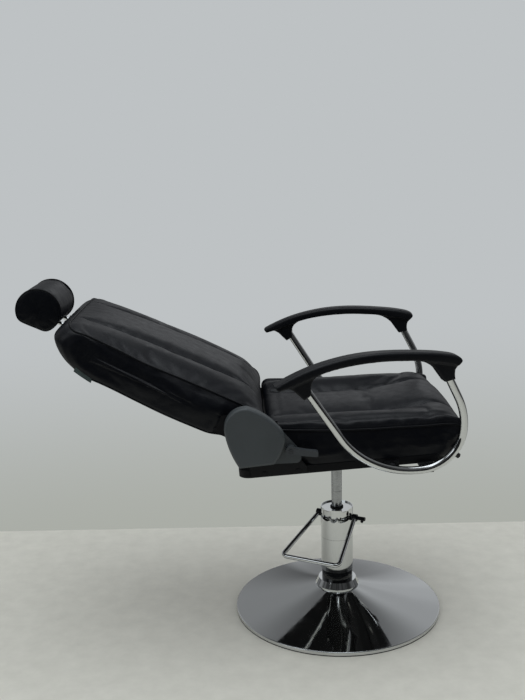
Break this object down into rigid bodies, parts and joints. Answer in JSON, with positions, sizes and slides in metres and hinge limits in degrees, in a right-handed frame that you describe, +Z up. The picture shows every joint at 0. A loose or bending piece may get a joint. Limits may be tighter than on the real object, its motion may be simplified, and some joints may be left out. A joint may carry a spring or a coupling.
{
  "type": "threading chair",
  "caption": "Reclining salon chair for threading: padded black seat, back and roll headrest, bent chrome armrests, foot-pumped lift on a round chrome base.",
  "frame": {"origin": "on the floor, on the axis of the pump and ram", "axes": "+X forward, the way the sitter faces; +Y to the sitter's left; +Z up"},
  "size_m": [1.1387, 0.7818, 0.9522],
  "materials": {
    "chrome_plate": "polished",
    "ram_steel": "satin",
    "zinc_steel": "satin",
    "spring_steel": "satin",
    "black_steel": "satin",
    "black_gloss": "gloss",
    "black_casting": "matte",
    "black_leatherette": "satin",
    "headrest_leatherette": "satin",
    "arm_pad_black": "satin",
    "cover_grey": "satin",
    "lever_grey": "satin",
    "guide_black": "gloss",
    "panel_black": "matte",
    "seal_rubber": "matte",
    "floor_rubber": "matte",
    "pan_black": "matte",
    "board_wood": "matte"
  },
  "bodies": {
    "base": {"base_disc": "chrome_plate", "base_floor_ring": "floor_rubber", "base_casting": "black_casting", "base_bolts": "zinc_steel", "pump_flange": "black_steel", "base_collar": "chrome_plate", "pump_tank": "black_gloss", "pump_cylinder": "ram_steel", "pump_head": "chrome_plate", "pump_sleeve": "chrome_plate", "pump_head_cover": "chrome_plate", "ram_seal": "seal_rubber", "pump_plunger": "ram_steel", "plunger_spring": "spring_steel"},
    "ram": {"ram": "ram_steel", "ram_piston": "ram_steel"},
    "pedal": {"pedal_stirrup": "chrome_plate", "pedal_bosses": "black_steel", "pedal_pins": "zinc_steel"},
    "seat": {"swivel_socket": "black_steel", "swivel_cap": "panel_black", "seat_mount_plate": "black_steel", "seat_bolts": "zinc_steel", "seat_pan": "pan_black", "seat_cushion": "black_leatherette", "arm_bar_front": "black_steel", "arm_bar_rear": "black_steel", "arm_bar_screws": "zinc_steel", "arm_spacers": "panel_black", "arm_bolts": "zinc_steel", "arm_bumpers": "seal_rubber", "arm_tube_right": "chrome_plate", "arm_tube_left": "chrome_plate", "arm_pad_right": "arm_pad_black", "arm_pad_left": "arm_pad_black", "hinge_plate_right": "black_steel", "hinge_plate_left": "black_steel", "hinge_screws": "black_steel", "inner_cover": "cover_grey", "outer_cover": "cover_grey", "recline_spring": "spring_steel"},
    "backrest": {"backrest_cushion": "black_leatherette", "backrest_board": "board_wood", "backrest_rear_panel": "panel_black", "back_arm_right": "black_steel", "back_arm_left": "black_steel", "back_arm_screws": "black_steel", "recline_pins": "zinc_steel", "pivot_cap": "panel_black", "headrest_guides": "guide_black"},
    "headrest": {"headrest_posts": "chrome_plate", "headrest_board": "board_wood", "headrest_cushion": "headrest_leatherette"},
    "recline_lever": {"recline_lever": "lever_grey", "lever_shaft": "zinc_steel", "lever_screw": "spring_steel", "recline_pawl": "black_steel"}
  },
  "joints": [
    {"name": "ram_slide", "type": "slide", "parent": "base", "child": "ram", "axis": [0, 0, 1], "range_m": [-0.1, 0.045]},
    {"name": "seat_swivel", "type": "hinge", "parent": "ram", "child": "seat", "pos_m": [0, 0, 0.47], "axis": [0, 0, 1], "continuous": true},
    {"name": "back_recline", "type": "hinge", "parent": "seat", "child": "backrest", "pos_m": [-0.25, 0, 0.617], "axis": [0, 1, 0], "range_deg": [-10, 52]},
    {"name": "headrest_slide", "type": "slide", "parent": "backrest", "child": "headrest", "axis": [-0.9063, 0, 0.4226], "range_m": [0, 0.08]},
    {"name": "lever_lift", "type": "hinge", "parent": "seat", "child": "recline_lever", "pos_m": [-0.142, -0.275, 0.558], "axis": [0, -1, 0], "range_deg": [0, 18], "stiffness_Nm_per_rad": 0.6, "springref_deg": -14.32},
    {"name": "pedal_pump", "type": "hinge", "parent": "base", "child": "pedal", "pos_m": [0, 0, 0.2736], "axis": [0.8788, -0.4772, 0], "range_deg": [0, 25], "stiffness_Nm_per_rad": 2, "springref_deg": -28.65}
  ]
}
